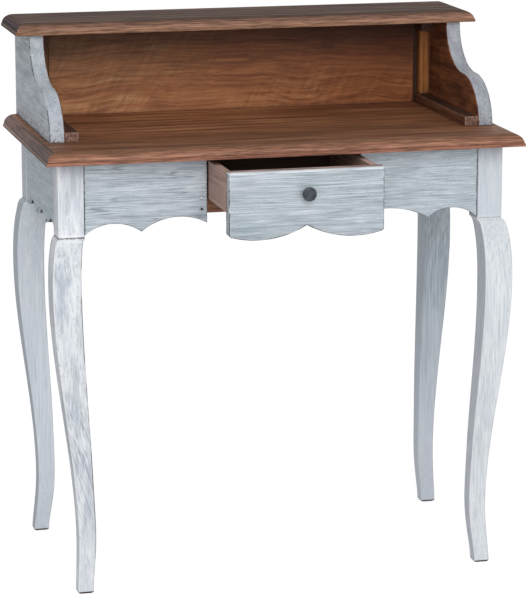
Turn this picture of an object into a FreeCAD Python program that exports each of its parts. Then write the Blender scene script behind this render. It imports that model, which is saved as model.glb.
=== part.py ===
import FreeCAD, Part
import Sketcher
import math
import os

# A small writing desk: cabriole legs, scalloped aprons, one drawer and a low gallery with a shelf.
# Millimetres, X to the right, Y to the back, Z up, the floor at Z = 0.
# Every piece is drawn about the middle of the desk top with the drawer shut. Its Placement then
# pulls the drawer out and moves the desk so that the origin is under the middle of the whole.

doc = FreeCAD.newDocument("writing_desk")
Vector = FreeCAD.Vector

# Driving dimensions
driving = [
    ("top_width", 850, "desk top and shelf, side to side"),
    ("top_depth", 450, "desk top, front to back"),
    ("top_thick", 22, "desk top"),
    ("frame_height", 762, "floor to the underside of the desk top"),
    ("mould_wide", 22, "width of the moulded edge"),
    ("mould_fillet", 5, "square fillet at the foot of the moulding"),
    ("mould_step", 1.6, "step below the round of the moulding"),
    ("gallery_width", 800, "over the two gallery sides"),
    ("gallery_height", 163, "desk top to the underside of the shelf"),
    ("gallery_thick", 27, "gallery side"),
    ("gallery_foot", 117, "foot of a gallery side, forward of the middle of the desk top"),
    ("gallery_head", 76, "head of a gallery side, behind the middle of the desk top"),
    ("shelf_depth", 163, "shelf, front to back"),
    ("shelf_thick", 20, "shelf"),
    ("panel_inset", 38, "rear edge of the desk top to the face of the back panel"),
    ("panel_thick", 16, "gallery back panel"),
    ("panel_gap", 9, "shoulder of the back panel to its batten"),
    ("tongue_long", 17, "tongue at each end of the back panel"),
    ("tongue_thick", 8, "tongues and tenons"),
    ("batten_wide", 19, "corner batten, side to side"),
    ("batten_proud", 15, "corner batten in front of the back panel"),
    ("cleat_wide", 24, "strips along the gallery sides"),
    ("base_cleat_high", 17, "strip at the foot of a gallery side"),
    ("base_cleat_inset", 3, "front of a gallery side to the end of the strip"),
    ("shelf_cleat_high", 25, "short strip under the shelf"),
    ("shelf_cleat_long", 40, "short strip under the shelf"),
    ("frame_width", 797, "over the leg posts"),
    ("front_overhang", 46, "desk top over the front posts"),
    ("rear_overhang", 38, "desk top over the rear posts"),
    ("post_size", 46, "square post at the head of a leg"),
    ("post_bottom", 627, "floor to the foot of a front post"),
    ("rear_post_bottom", 636, "floor to the foot of a rear post"),
    ("post_line", 1.5, "foot of the post to the line cut above it"),
    ("line_wide", 1.5, "line cut across the post"),
    ("knee_height", 538, "floor to the fullest part of the knee"),
    ("knee_out", 14.6, "knee, outward of the post"),
    ("knee_back", 35.4, "inner side of the knee, inward of the outer face of the post"),
    ("ankle_height", 87, "floor to the thinnest part of the leg"),
    ("ankle_in", 28, "ankle, inward of the outer face of the post"),
    ("ankle_back", 58.2, "inner side of the ankle"),
    ("foot_in", 24.3, "foot, inward of the outer face of the post"),
    ("foot_back", 51.5, "inner side of the foot"),
    ("leg_rake", 50, "lean of every leg to the front or back, at the floor"),
    ("splay_front", 3, "lean of the front legs to the sides, at the floor"),
    ("splay_rear_left", 12.5, "lean of the rear left leg to the side"),
    ("splay_rear_right", 25, "lean of the rear right leg to the side"),
    ("leg_round", 2.2, "eased corners of the leg"),
    ("foot_bevel", 2.5, "bevel round the sole of each foot"),
    ("apron_thick", 20, "aprons"),
    ("apron_recess", 2, "face of the post to the face of the apron"),
    ("apron_round", 1.5, "eased edges of aprons, drawer front and gallery sides"),
    ("apron_drop", 130, "underside of the desk top to the tip of a scallop"),
    ("tip_lift", 2, "scallop tip of a front apron, above its end at the leg"),
    ("tip_left", 253, "middle of the desk to the scallop tip of the left front apron"),
    ("tip_right", 262.6, "the same on the right, where the cut is not quite alike"),
    ("arch_rise", 18, "arch beside the leg, above the end of the apron there"),
    ("long_arch_left", 190, "middle of the desk to the high part of the long arch, on the left"),
    ("long_arch_right", 212, "the same on the right"),
    ("long_rise_left", 25, "long arch above the end of the apron at the leg, on the left"),
    ("long_rise_right", 20, "the same on the right"),
    ("drawer_end_rise", 12.5, "end of the front apron at the drawer, above its end at the leg"),
    ("side_arch_rise", 17, "arches of the side aprons"),
    ("side_arches", 3, "arches in each side apron"),
    ("rear_apron_high", 100, "rear apron"),
    ("tenon_long", 20, "tenons of the aprons"),
    ("tenon_high", 84, "tenons of the aprons"),
    ("tenon_drop", 15, "underside of the desk top to the tenons"),
    ("opening_width", 275, "between the two front aprons"),
    ("front_width", 271, "drawer front"),
    ("front_thick", 22, "drawer front"),
    ("front_gap", 5, "desk top to the drawer front"),
    ("front_corner_drop", 114.5, "desk top to the lower corners of the drawer front"),
    ("front_corner_round", 6, "lower corners of the drawer front"),
    ("lobe_from_middle", 84, "middle of the drawer front to the lowest point of a lobe"),
    ("lobe_drop", 122.2, "desk top to the lowest point of a lobe"),
    ("notch_drop", 99.7, "desk top to the notch between the lobes"),
    ("drawer_long", 320, "drawer, front to back"),
    ("drawer_open", 153, "how far the drawer stands out"),
    ("drawer_side_inset", 0.5, "end of the drawer front to the drawer side"),
    ("drawer_side_thick", 12, "drawer sides and back"),
    ("drawer_head", 9, "desk top to the upper edge of the drawer sides"),
    ("drawer_sole", 76, "desk top to the lower edge of the drawer sides"),
    ("drawer_back_lower", 5, "upper edge of the drawer back below that of the sides"),
    ("drawer_tail", 6, "drawer sides behind the drawer back"),
    ("housing_deep", 8, "housings of the drawer sides in the drawer front"),
    ("dado_deep", 5, "housings of the drawer back in the drawer sides"),
    ("bottom_thick", 5, "drawer bottom"),
    ("bottom_lift", 8, "lower edge of the drawer sides to the drawer bottom"),
    ("groove_deep", 6, "grooves for the drawer bottom"),
    ("knob_drop", 44, "desk top to the middle of the knob"),
    ("knob_wide", 24, "face of the knob"),
    ("knob_reach", 18, "knob in front of the drawer front"),
    ("knob_face", 6, "thickness of the face of the knob"),
    ("knob_bevel", 1.5, "bevel round the face of the knob"),
    ("knob_dome", 0.5, "middle of that face, in front of its edge"),
    ("knob_stem", 11, "stem of the knob at its ends"),
    ("knob_waist", 8.8, "stem of the knob where it is thinnest"),
    ("guide_thick", 20, "boards beside the drawer"),
    ("guide_gap", 1.5, "drawer side to guide"),
    ("guide_high", 80, "boards beside the drawer"),
    ("runner_size", 20, "ledges below the drawer sides, square"),
    ("sliding_gap", 0.4, "drawer to runners and bearer rail"),
    ("rail_thick", 20, "bearer rail, front to back"),
    ("rail_high", 28, "bearer rail"),
    ("rail_tenon", 8, "tenons of the bearer rail"),
    ("block_size", 30, "blocks that hold the desk top, side to side and high"),
    ("block_long", 45, "blocks that hold the desk top, front to back"),
    ("block_from_middle", 38, "middle of a side apron to the middle of a block"),
    ("screw_wide", 4, "shank of a wood screw"),
    ("screw_head_wide", 8, "head of a wood screw"),
    ("screw_head_high", 2.5, "head of a wood screw"),
    ("screw_bite", 14, "screw in the piece that it holds"),
    ("gallery_screw_spread", 105, "gallery screws, to each side of the middle of the frame"),
    ("nail_wide", 2, "shank of a nail"),
    ("nail_head_wide", 4, "head of a nail"),
    ("nail_head_high", 0.6, "head of a nail"),
    ("nail_long", 45, "nail"),
    ("nail_from_middle", 147, "middle of the desk to the nails"),
    ("nail_drop", 73, "desk top to the upper nail"),
    ("nail_spacing", 20, "between two nails"),
    ("hole_slack", 0.1, "hole round a shank, to each side"),
    ("hole_deeper", 1, "blind hole beyond the end of its screw or nail"),
]

dims = doc.addObject("Spreadsheet::Sheet", "Dims")
for row, (alias, size, note) in enumerate(driving, start=1):
    dims.set(f"A{row}", note)
    dims.set(f"B{row}", str(size))
    dims.setAlias(f"B{row}", alias)
doc.recompute()

# Places worked out from the driving dimensions, as expressions
top_front = "(-Dims.top_depth / 2)"
top_rear = "(Dims.top_depth / 2)"
frame_top = "Dims.frame_height"
top_surface = "(Dims.frame_height + Dims.top_thick)"
shelf_under = f"({top_surface} + Dims.gallery_height)"
shelf_front = f"({top_rear} - Dims.shelf_depth)"
gallery_outer = "(Dims.gallery_width / 2)"
gallery_inner = f"({gallery_outer} - Dims.gallery_thick)"
panel_face = f"({top_rear} - Dims.panel_inset)"
tongue_face = f"({panel_face} + (Dims.panel_thick - Dims.tongue_thick) / 2)"
tongue_rear = f"({tongue_face} + Dims.tongue_thick)"
batten_inner = f"({gallery_inner} - Dims.batten_wide)"
panel_shoulder = f"({batten_inner} - Dims.panel_gap)"
cleat_inner = f"({gallery_inner} - Dims.cleat_wide)"
cleat_middle = f"({gallery_inner} - Dims.cleat_wide / 2)"
shelf_cleat_front = f"({panel_face} - Dims.shelf_cleat_long)"
shelf_screw_back = f"({panel_face} - (Dims.shelf_cleat_long + Dims.batten_proud) / 2)"
shelf_cleat_foot = f"({shelf_under} - Dims.shelf_cleat_high)"
base_cleat_top = f"({top_surface} + Dims.base_cleat_high)"

post_outer = "(Dims.frame_width / 2)"
post_inner = f"({post_outer} - Dims.post_size)"
post_front = f"({top_front} + Dims.front_overhang)"
post_rear = f"({top_rear} - Dims.rear_overhang)"
frame_middle = f"(({post_front} + {post_rear}) / 2)"
apron_face = f"({post_front} + Dims.apron_recess)"
apron_back = f"({apron_face} + Dims.apron_thick)"
rear_apron_face = f"({post_rear} - Dims.apron_recess)"
rear_apron_back = f"({rear_apron_face} - Dims.apron_thick)"
side_apron_face = f"({post_outer} - Dims.apron_recess)"
side_apron_back = f"({side_apron_face} - Dims.apron_thick)"
tenon_inset = "(Dims.apron_recess + (Dims.apron_thick - Dims.tongue_thick) / 2)"
tenon_far = f"({tenon_inset} + Dims.tongue_thick)"
tenon_end = f"({post_inner} + Dims.tenon_long)"
tenon_top = f"({frame_top} - Dims.tenon_drop)"
tenon_foot = f"({tenon_top} - Dims.tenon_high)"
scallop_tip = f"({frame_top} - Dims.apron_drop)"

drawer_side_outer = "(Dims.front_width / 2 - Dims.drawer_side_inset)"
drawer_side_inner = f"({drawer_side_outer} - Dims.drawer_side_thick)"
front_back = f"({apron_face} + Dims.front_thick)"
drawer_rear = f"({apron_face} + Dims.drawer_long)"
drawer_sole = f"({frame_top} - Dims.drawer_sole)"
drawer_head = f"({frame_top} - Dims.drawer_head)"
bottom_under = f"({drawer_sole} + Dims.bottom_lift)"
bottom_top = f"({bottom_under} + Dims.bottom_thick)"
drawer_back_rear = f"({drawer_rear} - Dims.drawer_tail)"
drawer_back_face = f"({drawer_back_rear} - Dims.drawer_side_thick)"
knob_level = f"({frame_top} - Dims.knob_drop)"

guide_inner = f"({drawer_side_outer} + Dims.guide_gap)"
guide_outer = f"({guide_inner} + Dims.guide_thick)"
runner_top = f"({drawer_sole} - Dims.sliding_gap)"
rail_face = f"({front_back} + Dims.sliding_gap)"
rail_back = f"({rail_face} + Dims.rail_thick)"
rail_foot = f"({runner_top} - Dims.rail_high)"

# The middle of the desk with the drawer out, from the knob to the rear edge of the desk top
desk_place = f"(-({apron_face} - Dims.drawer_open - Dims.knob_reach + {top_rear}) / 2)"
drawer_place = f"({desk_place} - Dims.drawer_open)"

pieces = []


# Building helpers
def value(size):
    return float(dims.evalExpression(size))


def point(across, up):
    return Vector(value(across), value(up), 0)


def new_body(label, place):
    body = doc.addObject("PartDesign::Body", label)
    body.Label = label
    body.setExpression("Placement.Base.y", place)
    pieces.append(body)
    return body


def new_sketch(body, role, level):
    sketch = body.newObject("Sketcher::SketchObject", "Sketch")
    plane = next(origin for origin in body.Origin.OriginFeatures if origin.Role == role)
    sketch.AttachmentSupport = [(plane, "")]
    sketch.MapMode = "FlatFace"
    sketch.setExpression("AttachmentOffset.Base.z", level)
    return sketch


def end_at(sketch, curve, target):
    start = sketch.getPoint(curve, 1)
    return 1 if start.distanceToPoint(target) < 1e-6 else 2


def pin(sketch, curve, end, across, up):
    for kind, size in (("DistanceX", across), ("DistanceY", up)):
        held = sketch.addConstraint(Sketcher.Constraint(kind, curve, end, value(size)))
        sketch.setExpression(f"Constraints[{held}]", size)


def quarter_round(start, corner, end):
    # A quarter of an ellipse that leaves start and reaches end along the lines through corner
    pull = 4 * (math.sqrt(2) - 1) / 3
    curve = Part.BezierCurve()
    curve.setPoles([start, start + (corner - start) * pull, end + (corner - end) * pull, end])
    return curve.toBSpline()


def outline(body, role, level, corners, arcs={}, rounds={}):
    # Closed outline: arcs go from their corner to the next through a point, rounds about a corner
    sketch = new_sketch(body, role, level)
    ends = [point(*corner) for corner in corners]
    curves = []
    for index, start in enumerate(ends):
        end = ends[(index + 1) % len(ends)]
        if index in arcs:
            curve = Part.Arc(start, point(*arcs[index]), end)
        elif index in rounds:
            curve = quarter_round(start, point(*rounds[index]), end)
        else:
            curve = Part.LineSegment(start, end)
        curves.append(sketch.addGeometry(curve, False))
    for index, corner in enumerate(corners):
        before = curves[index - 1]
        after = curves[index]
        joined = (before, end_at(sketch, before, ends[index]), after, end_at(sketch, after, ends[index]))
        sketch.addConstraint(Sketcher.Constraint("Coincident", *joined))
        pin(sketch, joined[2], joined[3], *corner)
    for index, middle in arcs.items():
        marker = sketch.addGeometry(Part.Point(point(*middle)), True)
        pin(sketch, marker, 1, *middle)
        sketch.addConstraint(Sketcher.Constraint("PointOnObject", marker, 1, curves[index]))
    return sketch


def rectangle(body, role, level, across, up):
    corners = [(across[0], up[0]), (across[1], up[0]), (across[1], up[1]), (across[0], up[1])]
    return outline(body, role, level, corners)


def pad(body, sketch, length, both_ways=False):
    feature = body.newObject("PartDesign::Pad", "Pad")
    feature.Profile = sketch
    feature.setExpression("Length", length)
    if both_ways:
        feature.SideType = "Symmetric"
    doc.recompute()
    return feature


def pocket(body, sketch, length=None, along_normal=False):
    before = body.Shape.Volume
    feature = body.newObject("PartDesign::Pocket", "Pocket")
    feature.Profile = sketch
    if length is None:
        feature.Type = "ThroughAll"
        feature.SideType = "Symmetric"
    else:
        feature.setExpression("Length", length)
        feature.Reversed = along_normal
    doc.recompute()
    if body.Shape.Volume >= before:
        raise RuntimeError(f"{body.Label}: a pocket cuts nothing")
    return feature


def add_box(body, x_span, y_span, z_span):
    sketch = rectangle(body, "XY_Plane", z_span[0], x_span, y_span)
    return pad(body, sketch, f"({z_span[1]}) - ({z_span[0]})")


def cut_box(body, x_span, y_span, z_span):
    sketch = rectangle(body, "XY_Plane", z_span[0], x_span, y_span)
    return pocket(body, sketch, f"({z_span[1]}) - ({z_span[0]})", along_normal=True)


def board(label, place, x_span, y_span, z_span):
    body = new_body(label, place)
    add_box(body, x_span, y_span, z_span)
    return body


def drill(body, role, level, centre, wide, length, along_normal=False):
    sketch = new_sketch(body, role, level)
    ring = sketch.addGeometry(Part.Circle(point(*centre), Vector(0, 0, 1), value(wide) / 2), False)
    pin(sketch, ring, 3, *centre)
    size = sketch.addConstraint(Sketcher.Constraint("Diameter", ring, value(wide)))
    sketch.setExpression(f"Constraints[{size}]", wide)
    return pocket(body, sketch, length, along_normal)


def ease(body, radius, wanted):
    base = body.Tip
    names = [f"Edge{number}" for number, edge in enumerate(base.Shape.Edges, start=1) if wanted(edge)]
    feature = body.newObject("PartDesign::Fillet", "Fillet")
    feature.Base = (base, names)
    feature.setExpression("Radius", radius)
    doc.recompute()
    return feature


def lies_at(edge, axis, level):
    box = edge.BoundBox
    low = getattr(box, f"{axis}Min")
    high = getattr(box, f"{axis}Max")
    return abs(low - level) < 1e-4 and abs(high - level) < 1e-4


def mirror(label, source, axis="x", middle="0"):
    copy = doc.addObject("Part::Mirroring", label)
    copy.Label = label
    copy.Source = source
    copy.Normal = Vector(axis == "x", axis == "y", 0)
    copy.setExpression(f"Base.{axis}", middle)
    pieces.append(copy)
    return copy


def fastener(head, direction, head_wide, head_high, shank_wide, shank_long):
    cap_end = head - direction * value(head_high)
    cap = Part.makeCylinder(value(head_wide) / 2, value(head_high), cap_end, direction)
    shank = Part.makeCylinder(value(shank_wide) / 2, value(shank_long), head, direction)
    return cap.fuse(shank).removeSplitter()


def screw(x, y, z, direction, length):
    head = Vector(value(x), value(y), value(z))
    return fastener(head, direction, "Dims.screw_head_wide", "Dims.screw_head_high",
                    "Dims.screw_wide", length)


def fastener_group(label, place, solids):
    group = doc.addObject("Part::Feature", label)
    group.Label = label
    group.Shape = Part.makeCompound(solids)
    group.setExpression("Placement.Base.y", place)
    pieces.append(group)
    return group


screw_hole = "(Dims.screw_wide + 2 * Dims.hole_slack)"
nail_hole = "(Dims.nail_wide + 2 * Dims.hole_slack)"
blind_hole = "(Dims.screw_bite + Dims.hole_deeper)"
upward = Vector(0, 0, 1)
backward = Vector(0, 1, 0)
both_sides = (-1, 1)

# Where the screws and nails go: across and back, or across and up
gallery_screw_places = []
top_screw_places = []
shelf_screw_places = []
nail_places = []
for side in both_sides:
    over_cleat = f"{side} * {cleat_middle}"
    over_block = f"{side} * ({side_apron_back} - Dims.block_size / 2)"
    shelf_screw_places.append((over_cleat, shelf_screw_back))
    for end in both_sides:
        gallery_screw_places.append((over_cleat, f"{frame_middle} + {end} * Dims.gallery_screw_spread"))
        top_screw_places.append((over_block, f"{frame_middle} + {end} * Dims.block_from_middle"))
    for row in range(2):
        nail_level = f"{frame_top} - Dims.nail_drop - {row} * Dims.nail_spacing"
        nail_places.append((f"{side} * Dims.nail_from_middle", nail_level))


# Desk top and shelf, moulded along the front and both ends
def moulded_board(label, front, under, thick):
    body = new_body(label, desk_place)
    top = f"({under} + {thick})"
    fillet_top = f"({under} + Dims.mould_fillet)"
    section = outline(
        body, "YZ_Plane", "0",
        [
            (top_rear, under),
            (top_rear, top),
            (f"{front} + Dims.mould_wide", top),
            (f"{front} + Dims.mould_step", fillet_top),
            (front, fillet_top),
            (front, under),
        ],
        rounds={2: (f"{front} + Dims.mould_step", top)},
    )
    pad(body, section, "Dims.top_width", both_ways=True)
    for side in both_sides:
        end = f"{side} * Dims.top_width / 2"
        waste = outline(
            body, "XZ_Plane", "0",
            [
                (f"{end} - {side} * Dims.mould_wide", f"{top} + Dims.mould_step"),
                (f"{end} - {side} * Dims.mould_wide", top),
                (f"{end} - {side} * Dims.mould_step", fillet_top),
                (f"{end} + {side} * Dims.mould_step", fillet_top),
                (f"{end} + {side} * Dims.mould_step", f"{top} + Dims.mould_step"),
            ],
            rounds={1: (f"{end} - {side} * Dims.mould_step", top)},
        )
        pocket(body, waste)
    return body


desk_top = moulded_board("desk_top", top_front, frame_top, "Dims.top_thick")
for place in gallery_screw_places:
    drill(desk_top, "XY_Plane", frame_top, place, screw_hole, "Dims.top_thick", along_normal=True)
for place in top_screw_places:
    drill(desk_top, "XY_Plane", frame_top, place, screw_hole, blind_hole, along_normal=True)

top_shelf = moulded_board("top_shelf", shelf_front, shelf_under, "Dims.shelf_thick")
for place in shelf_screw_places:
    drill(top_shelf, "XY_Plane", shelf_under, place, screw_hole, blind_hole, along_normal=True)

# Gallery: each side's front edge is a hollow above and a round below, quarters of two ellipses
gallery_side = new_body("gallery_side_left", desk_place)
curve_back = "Dims.gallery_head"
curve_front = "(-Dims.gallery_foot)"
curve_middle = f"(({curve_back} + {curve_front}) / 2)"
curve_level = f"({top_surface} + Dims.gallery_height / 2)"
side_outline = outline(
    gallery_side, "YZ_Plane", f"-{gallery_outer}",
    [
        (curve_front, top_surface),
        (top_rear, top_surface),
        (top_rear, shelf_under),
        (curve_back, shelf_under),
        (curve_middle, curve_level),
    ],
    rounds={3: (curve_back, curve_level), 4: (curve_front, curve_level)},
)
pad(gallery_side, side_outline, "Dims.gallery_thick")
ease(gallery_side, "Dims.apron_round", lambda edge: edge.Curve.TypeId == "Part::GeomBSplineCurve")
mirror("gallery_side_right", gallery_side)

gallery_span = (top_surface, shelf_under)
back_panel = board(
    "gallery_back_panel", desk_place,
    (f"-{panel_shoulder}", panel_shoulder),
    (panel_face, f"{panel_face} + Dims.panel_thick"),
    gallery_span,
)
tongue_end = f"({panel_shoulder} + Dims.tongue_long)"
add_box(back_panel, (f"-{tongue_end}", tongue_end), (tongue_face, tongue_rear), gallery_span)

# Corner battens: full height behind the strips, and proud of the panel between them
batten = board(
    "gallery_batten_left", desk_place,
    (f"-{gallery_inner}", f"-{batten_inner}"),
    (panel_face, f"{panel_face} + Dims.panel_thick"),
    gallery_span,
)
add_box(batten, (f"-{gallery_inner}", f"-{batten_inner}"),
        (f"{panel_face} - Dims.batten_proud", f"{panel_face} + Dims.panel_thick"),
        (base_cleat_top, shelf_cleat_foot))
cut_box(batten, (f"-{tongue_end}", f"-{batten_inner}"), (tongue_face, tongue_rear), gallery_span)
mirror("gallery_batten_right", batten)

base_cleat = board(
    "base_cleat_left", desk_place,
    (f"-{gallery_inner}", f"-{cleat_inner}"),
    (f"{curve_front} + Dims.base_cleat_inset", panel_face),
    (top_surface, base_cleat_top),
)
for place in gallery_screw_places[:2]:
    drill(base_cleat, "XY_Plane", top_surface, place, screw_hole, blind_hole, along_normal=True)
mirror("base_cleat_right", base_cleat)

shelf_cleat = board(
    "shelf_cleat_left", desk_place,
    (f"-{gallery_inner}", f"-{cleat_inner}"),
    (shelf_cleat_front, panel_face),
    (shelf_cleat_foot, shelf_under),
)
drill(shelf_cleat, "XY_Plane", shelf_cleat_foot, shelf_screw_places[0], screw_hole, "Dims.shelf_cleat_high",
      along_normal=True)
mirror("shelf_cleat_right", shelf_cleat)


# Legs: a square post, then a rounded shoulder, a full knee, a thin ankle and a foot
ankle_level = value("Dims.ankle_height")
knee_level = value("Dims.knee_height")
post_foot = {-1: "Dims.post_bottom", 1: "Dims.rear_post_bottom"}  # front and rear ends


def eased_step(share):
    return share * share * (3 - 2 * share)


def leg_edge(height, head, foot, ankle, knee, post):
    # Distance outward of the outer face of the post, at a height above the floor
    foot, ankle, knee, post = (value(size) for size in (foot, ankle, knee, post))
    if height < ankle_level:
        return foot + (ankle - foot) * eased_step(height / ankle_level)
    if height < knee_level:
        return ankle + (knee - ankle) * eased_step((height - ankle_level) / (knee_level - ankle_level))
    rise = (height - knee_level) / (head - knee_level)
    return post + (knee - post) * math.sqrt(max(1 - rise * rise, 0))


splay_curve = 1.5  # a leg leans to the side more and more towards its foot


def leg_section(body, height, side, end, splay, inset=0):
    head = value(post_foot[end])
    outer = leg_edge(height, head, "-Dims.foot_in", "-Dims.ankle_in", "Dims.knee_out", "0")
    inner = leg_edge(
        height, head, "-Dims.foot_back", "-Dims.ankle_back", "-Dims.knee_back", "-Dims.post_size")
    lean = 1 - height / head
    post_x = value(post_outer) + lean ** splay_curve * value(splay)
    post_y = end * value(post_rear if end > 0 else post_front) + lean * value("Dims.leg_rake")
    outer, inner = outer - inset, inner + inset
    x_span = sorted([side * (post_x + outer), side * (post_x + inner)])
    y_span = sorted([end * (post_y + outer), end * (post_y + inner)])
    return rounded_square(body, height, x_span, y_span, value("Dims.leg_round"))


def rounded_square(body, height, x_span, y_span, radius):
    sketch = new_sketch(body, "XY_Plane", str(height))
    left, right = x_span[0] + radius, x_span[1] - radius
    front, back = y_span[0] + radius, y_span[1] - radius
    arcs = []
    for number, (x, y) in enumerate([(right, front), (right, back), (left, back), (left, front)]):
        begin = math.radians(90 * number - 90)
        circle = Part.Circle(Vector(x, y, 0), upward, radius)
        arcs.append(Part.ArcOfCircle(circle, begin, begin + math.pi / 2))
    for number, arc in enumerate(arcs):
        following = arcs[(number + 1) % len(arcs)]
        sketch.addGeometry(arc, False)
        sketch.addGeometry(Part.LineSegment(arc.EndPoint, following.StartPoint), False)
    return sketch


sole_bevel = value("Dims.foot_bevel")
foot_share = 0.3
leg_spans = 6
shoulder_angles = (0, 30, 55, 75, 90)


def leg_levels(head):
    levels = [sole_bevel, foot_share * ankle_level]
    for span in range(leg_spans):
        levels.append(ankle_level + (knee_level - ankle_level) * span / leg_spans)
    for angle in shoulder_angles:
        levels.append(knee_level + (head - knee_level) * math.sin(math.radians(angle)))
    return levels


def loft(body, sections):
    feature = body.newObject("PartDesign::AdditiveLoft", "Loft")
    feature.Profile = sections[0]
    feature.Sections = sections[1:]
    doc.recompute()


def make_leg(label, side, end, splay):
    body = new_body(label, desk_place)
    head = post_foot[end]
    loft(body, [leg_section(body, level, side, end, splay) for level in leg_levels(value(head))])
    sole = leg_section(body, 0, side, end, splay, inset=sole_bevel)
    loft(body, [sole, leg_section(body, sole_bevel, side, end, splay)])
    pad(body, leg_section(body, value(head), side, end, splay), f"Dims.frame_height - {head}")
    # Outer faces of the post, with a line cut across each just above the shoulder
    face_x = f"({side} * {post_outer})"
    face_y = post_rear if end > 0 else post_front
    back_x = f"({face_x} - {side} * Dims.post_size)"
    back_y = f"({face_y} - {end} * Dims.post_size)"
    line_foot = f"({head} + Dims.post_line)"
    line_span = (line_foot, f"{line_foot} + Dims.line_wide")
    cut_box(body, (face_x, f"{face_x} - {side} * Dims.line_wide"), (face_y, back_y), line_span)
    cut_box(body, (face_x, back_x), (face_y, f"{face_y} - {end} * Dims.line_wide"), line_span)
    # Mortises for the front or rear apron and for the side apron
    cut_box(body, (back_x, f"{back_x} + {side} * Dims.tenon_long"),
            (f"{face_y} - {end} * {tenon_inset}", f"{face_y} - {end} * {tenon_far}"), (tenon_foot, tenon_top))
    cut_box(body, (f"{face_x} - {side} * {tenon_inset}", f"{face_x} - {side} * {tenon_far}"),
            (back_y, f"{back_y} + {end} * Dims.tenon_long"), (tenon_foot, tenon_top))


make_leg("leg_front_left", -1, -1, "Dims.splay_front")
make_leg("leg_front_right", 1, -1, "Dims.splay_front")
make_leg("leg_rear_left", -1, 1, "Dims.splay_rear_left")
make_leg("leg_rear_right", 1, 1, "Dims.splay_rear_right")

# Front aprons: two arches with a scallop tip between them, nailed to the drawer guides
def make_front_apron(label, side, tip, long_arch, long_rise, nails_here):
    body = new_body(label, desk_place)
    leg_end = f"({side} * {post_inner})"
    drawer_end = f"({side} * Dims.opening_width / 2)"
    short_arch = f"({side} * ({post_inner} + {tip}) / 2)"
    face = outline(
        body, "XZ_Plane", f"-{apron_back}",
        [
            (leg_end, frame_top),
            (leg_end, scallop_tip),
            (f"{side} * {tip}", f"{scallop_tip} + Dims.tip_lift"),
            (drawer_end, f"{scallop_tip} + Dims.drawer_end_rise"),
            (drawer_end, frame_top),
        ],
        arcs={
            1: (short_arch, f"{scallop_tip} + Dims.arch_rise"),
            2: (f"{side} * {long_arch}", f"{scallop_tip} + {long_rise}"),
        },
    )
    pad(body, face, "Dims.apron_thick")
    ease(body, "Dims.apron_round",
         lambda edge: lies_at(edge, "Y", value(apron_face)) and edge.BoundBox.ZMax < value(tenon_foot))
    add_box(body, (f"{side} * {tenon_end}", short_arch),
            (f"{post_front} + {tenon_inset}", f"{post_front} + {tenon_far}"), (tenon_foot, tenon_top))
    for place in nails_here:
        drill(body, "XZ_Plane", f"-{apron_face}", place, nail_hole, "Dims.apron_thick")


make_front_apron("front_apron_left", -1, "Dims.tip_left", "Dims.long_arch_left", "Dims.long_rise_left",
                 nail_places[:2])
make_front_apron("front_apron_right", 1, "Dims.tip_right", "Dims.long_arch_right", "Dims.long_rise_right",
                 nail_places[2:])

# Side aprons: equal arches from post to post
side_apron = new_body("side_apron_left", desk_place)
side_front = f"({post_front} + Dims.post_size)"
side_rear = f"({post_rear} - Dims.post_size)"
arch_span = f"(({side_rear} - {side_front}) / Dims.side_arches)"
side_corners = [(side_rear, frame_top), (side_front, frame_top)]
side_arcs = {}
for arch in range(round(value("Dims.side_arches"))):
    arch_start = f"({side_front} + {arch} * {arch_span})"
    side_arcs[len(side_corners)] = (f"{arch_start} + {arch_span} / 2", f"{scallop_tip} + Dims.side_arch_rise")
    side_corners.append((arch_start, scallop_tip))
side_corners.append((side_rear, scallop_tip))
side_face = outline(side_apron, "YZ_Plane", f"-{side_apron_face}", side_corners, arcs=side_arcs)
pad(side_apron, side_face, "Dims.apron_thick")
ease(side_apron, "Dims.apron_round",
     lambda edge: lies_at(edge, "X", -value(side_apron_face)) and edge.BoundBox.ZMax < value(tenon_foot))
add_box(side_apron, (f"-{post_outer} + {tenon_inset}", f"-{post_outer} + {tenon_far}"),
        (f"{side_front} - Dims.tenon_long", f"{side_rear} + Dims.tenon_long"), (tenon_foot, tenon_top))
mirror("side_apron_right", side_apron)

# Rear apron: a plain board, nailed to the other ends of the drawer guides
rear_apron = board("rear_apron", desk_place, (f"-{post_inner}", post_inner),
                   (rear_apron_back, rear_apron_face), (f"{frame_top} - Dims.rear_apron_high", frame_top))
add_box(rear_apron, (f"-{tenon_end}", tenon_end),
        (f"{post_rear} - {tenon_far}", f"{post_rear} - {tenon_inset}"), (tenon_foot, tenon_top))
for place in nail_places:
    drill(rear_apron, "XZ_Plane", f"-{rear_apron_back}", place, nail_hole, "Dims.apron_thick")

# What carries the drawer: two guides, a bearer rail between them and two runners behind the rail
rail_tenon_y = (f"{rail_face} + (Dims.rail_thick - Dims.tongue_thick) / 2",
                f"{rail_face} + (Dims.rail_thick + Dims.tongue_thick) / 2")
rail_tenon_z = (f"{rail_foot} + Dims.rail_tenon", f"{runner_top} - Dims.rail_tenon")
guide = board("drawer_guide_left", desk_place, (f"-{guide_outer}", f"-{guide_inner}"),
              (apron_back, rear_apron_back), (rail_foot, f"{rail_foot} + Dims.guide_high"))
cut_box(guide, (f"-{guide_inner} - Dims.rail_tenon", f"-{guide_inner}"), rail_tenon_y, rail_tenon_z)
nail_bite = "(Dims.nail_long - Dims.apron_thick + Dims.hole_deeper)"
for place in nail_places[:2]:
    drill(guide, "XZ_Plane", f"-{apron_back}", place, nail_hole, nail_bite)
    drill(guide, "XZ_Plane", f"-{rear_apron_back}", place, nail_hole, nail_bite, along_normal=True)
mirror("drawer_guide_right", guide)

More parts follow.
